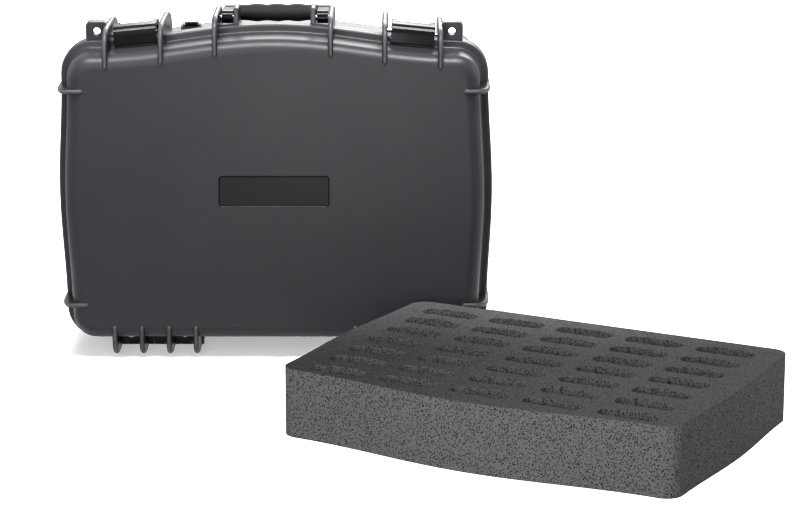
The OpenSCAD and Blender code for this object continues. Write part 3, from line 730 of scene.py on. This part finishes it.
# The catches that the latch links pull on, along the rim's slope
def addCatches(skin):
    form = catchForm
    tilt = math.atan(-caseForm["crownHeight"] / 2 * math.pi / crownRun
                     * math.sin(math.pi * ribForm["latchX"] / crownRun))
    half, edge = form["width"] / 2, form["edge"]
    loop = [(form["near"], form["low"]), (form["far"], form["low"]),
            (form["far"], form["high"] - edge), (form["far"] - edge, form["high"]),
            (form["near"], form["high"])]
    points = [(x, d, h) for x in (-half, half) for d, h in loop]
    count = len(loop)
    faces = rowFaces(count, 2) + [list(range(count)), list(range(count, 2 * count))]
    for hand in (-1, 1):
        slope = hand * tilt
        x0, z0 = hand * ribForm["latchX"], rimTop(ribForm["latchX"])
        addSkin(skin, points, faces,
                lambda p: (x0 + p[0] * math.cos(slope) - p[2] * math.sin(slope), -p[1],
                           z0 + p[0] * math.sin(slope) + p[2] * math.cos(slope)))


# A flat disc with a rounded edge, for the stacking pads and the valve's seat
def discRings(radius, height, edge):
    return [(radius, 0.0), (radius, height - edge), (radius - edge * 0.3, height - edge * 0.3),
            (radius - edge, height)]


def makeLidShell():
    skin = newSkin()
    addShell(skin, lidForm, -1, True)
    addRibs(skin, -1)
    addEars(skin, -1, earForm["lidHole"])
    addCatches(skin)
    piece = newPiece("lidShell", skin, [shellPlastic, ribPlastic])
    evenNormals(piece)
    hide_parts("lid_shell")
    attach(piece, "lid")


def makeBaseShell():
    form = baseForm
    skin = newSkin()
    addShell(skin, form, 1, False)
    addRibs(skin, 1)
    addEars(skin, 1, earForm["baseHole"])
    padX, padZ = form["padPlace"]
    sunk = form["padSunk"]
    pad = turnedSkin(discRings(form["padRadius"], form["padHeight"] + sunk, form["padEdge"]))
    for x in (-padX, padX):
        for z in (-padZ, padZ):
            addSkin(skin, *pad,
                    lambda p: (x + p[0], form["depth"] - sunk + p[2], caseMiddle + z + p[1]))
    valveX, valveY = form["valvePlace"]
    valveZ = rimTop(valveX) - shellForm["rimWidth"] - drawnIn(valveY)
    boss = turnedSkin(discRings(form["bossRadius"], 2 * form["bossHeight"], form["bossEdge"]))
    addSkin(skin, *boss,
            lambda p: (valveX + p[0], valveY + p[1], valveZ - form["bossHeight"] + p[2]))
    piece = newPiece("baseShell", skin, [shellPlastic, ribPlastic])
    evenNormals(piece)
    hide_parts("base_shell")
    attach(piece, "base")


makeLidShell()
makeBaseShell()
print("shells made")


# Foam insert that stands beside the case

insert = dict(middle=(294.0, -325.024), turn=-28.2, inset=19.438, sheetTop=10.0, top=75.0,
              columns=5, rows=7, columnPitch=84.031, rowPitch=43.521, pocketLength=67.0,
              pocketWidth=22.0, pocketRadius=9.0, notchLength=34.0, notchDepth=7.0, gap=0.2,
              notchRadius=2.0, edgeRound=1.4)


# A slot for one transmitter, wider over its middle part
def pocketLoop(cx, cy, form, steps=6):
    half, radius = form["pocketLength"] / 2, form["pocketRadius"]
    low = cy - form["notchDepth"] / 2 - form["pocketWidth"] / 2
    high = low + form["pocketWidth"]
    ledge = cy + form["pocketWidth"] / 2
    notch, small = form["notchLength"] / 2, form["notchRadius"]
    loop = []

    def arc(ax, ay, r, start, sweep=90):
        for k in range(steps + 1):
            turn = math.radians(start + sweep * k / steps)
            loop.append((ax + r * math.cos(turn), ay + r * math.sin(turn)))

    arc(cx + half - radius, low + radius, radius, -90)
    arc(cx + half - radius, high - radius, radius, 0)
    arc(cx + notch + small, high + small, small, -90, -90)
    arc(cx + notch - small, ledge - small, small, 0)
    arc(cx - notch + small, ledge - small, small, 90)
    arc(cx - notch - small, high + small, small, 0, -90)
    arc(cx - half + radius, high - radius, radius, 90)
    arc(cx - half + radius, low + radius, radius, 180)
    return loop


def makeInsert(form):
    edge = [(x, caseMiddle - z) for x, z in caseOutline(form["inset"] + form["gap"])]
    loops = [edge]
    for i in range(form["columns"]):
        for j in range(form["rows"]):
            cx = (i - (form["columns"] - 1) / 2) * form["columnPitch"]
            cy = (j - (form["rows"] - 1) / 2) * form["rowPitch"] - caseForm["crownHeight"] / 4
            loops.append(pocketLoop(cx, cy, form))
    turn = Matrix.Rotation(math.radians(form["turn"]), 4, "Z")
    place = Matrix.Translation((*form["middle"], 0.0)) @ turn
    for name, use, low, high, node in (
            ("insertBlock", loops, form["sheetTop"], form["top"], "insert_block"),
            ("insertSheet", [edge], 0.0, form["sheetTop"], "insert_sheet")):
        skin = newSkin()
        flat, caps = capFaces(use)
        for height in (low, high):
            addSkin(skin, [(x, y, height) for x, y in flat], caps)
        for loop in use:
            addSkin(skin, [(x, y, z) for z in (low, high) for x, y in loop],
                    rowFaces(len(loop), 2), finish=1)
        skin["points"] = [place @ Vector(p) for p in skin["points"]]
        piece = newPiece(name, skin, [foamSkin, foamCut], 40.0)
        roundEdges(piece, form["edgeRound"])
        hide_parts(node)
        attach(piece, "insert")


makeInsert(insert)
print("foam insert made")


# Convoluted foam in the lid: peaks and hollows towards the case's inside

lidPad = dict(front=-26.0, straight=-44.0, back=-56.0, inset=15.945, backRound=12.0, gap=0.15,
              pitch=38.0, cuts=6, swing=15.0, border=17.0)


def nearestEdge(x, z, loop):
    best = 1e9
    for (ax, az), (bx, bz) in zip(loop, loop[1:] + loop[:1]):
        dx, dz = bx - ax, bz - az
        t = min(max(((x - ax) * dx + (z - az) * dz) / (dx * dx + dz * dz), 0.0), 1.0)
        best = min(best, math.hypot(x - ax - t * dx, z - az - t * dz))
    return best


# The front is cut into a grid and pressed in by waves that fade towards the border
def makeLidPad(form):
    outline = caseOutline(form["inset"] + form["gap"])
    work = bmesh.new()
    work.faces.new([work.verts.new((x, form["front"], z)) for x, z in outline])
    step = form["pitch"] / form["cuts"]
    for axis, middle, reach in ((0, 0.0, caseForm["halfWidth"]), (2, caseMiddle, caseMiddle)):
        along = Vector((1, 0, 0)) if axis == 0 else Vector((0, 0, 1))
        count = int(reach / step) + 1
        for k in range(-count, count + 1):
            bmesh.ops.bisect_plane(work, geom=work.verts[:] + work.edges[:] + work.faces[:],
                                   dist=0.001, plane_co=along * (middle + k * step),
                                   plane_no=along)
    skin = newSkin()
    work.verts.index_update()
    turn = 2 * math.pi / form["pitch"]
    for v in work.verts:
        x, y, z = v.co
        fade = min(nearestEdge(x, z, outline) / form["border"], 1.0)
        wave = math.cos(turn * x) * math.cos(turn * (z - caseMiddle))
        drop = form["swing"] * (1 - wave) / 2 * fade * fade * (3 - 2 * fade)
        skin["points"].append((x, y - drop, z))
    skin["faces"] = [[v.index for v in face.verts] for face in work.faces]
    skin["finishes"] = [0] * len(skin["faces"])
    skin["crestHighlight"] = [0.0] * len(skin["points"])
    border = [v for v in work.verts if v.is_boundary]  # its points in order round the pad
    edges = [e for e in work.edges if e.is_boundary]
    rows = [(form["straight"], 0.0), (form["back"], form["backRound"])]
    order = [border[0]]
    while len(order) < len(border):
        ends = [e.other_vert(order[-1]) for e in edges if order[-1] in e.verts]
        order.append(next((v for v in ends if v not in order[-2:]), ends[0]))
    ring = [(v.co.x, v.co.z) for v in order]
    work.free()
    width = max(x for x, z in ring)
    height = max(z for x, z in ring) - caseMiddle
    points = [(x * (1 - drawn / width), y, z - (z - caseMiddle) * drawn / height)
              for y, drawn in [(form["front"], 0.0)] + rows for x, z in ring]
    addSkin(skin, points, rowFaces(len(ring), 3) + [[2 * len(ring) + j for j in range(len(ring))]])
    piece = newPiece("lidPad", skin, [foamSkin], 50.0)
    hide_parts("lid_pad")
    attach(piece, "lid")


makeLidPad(lidPad)
print("lid pad made")
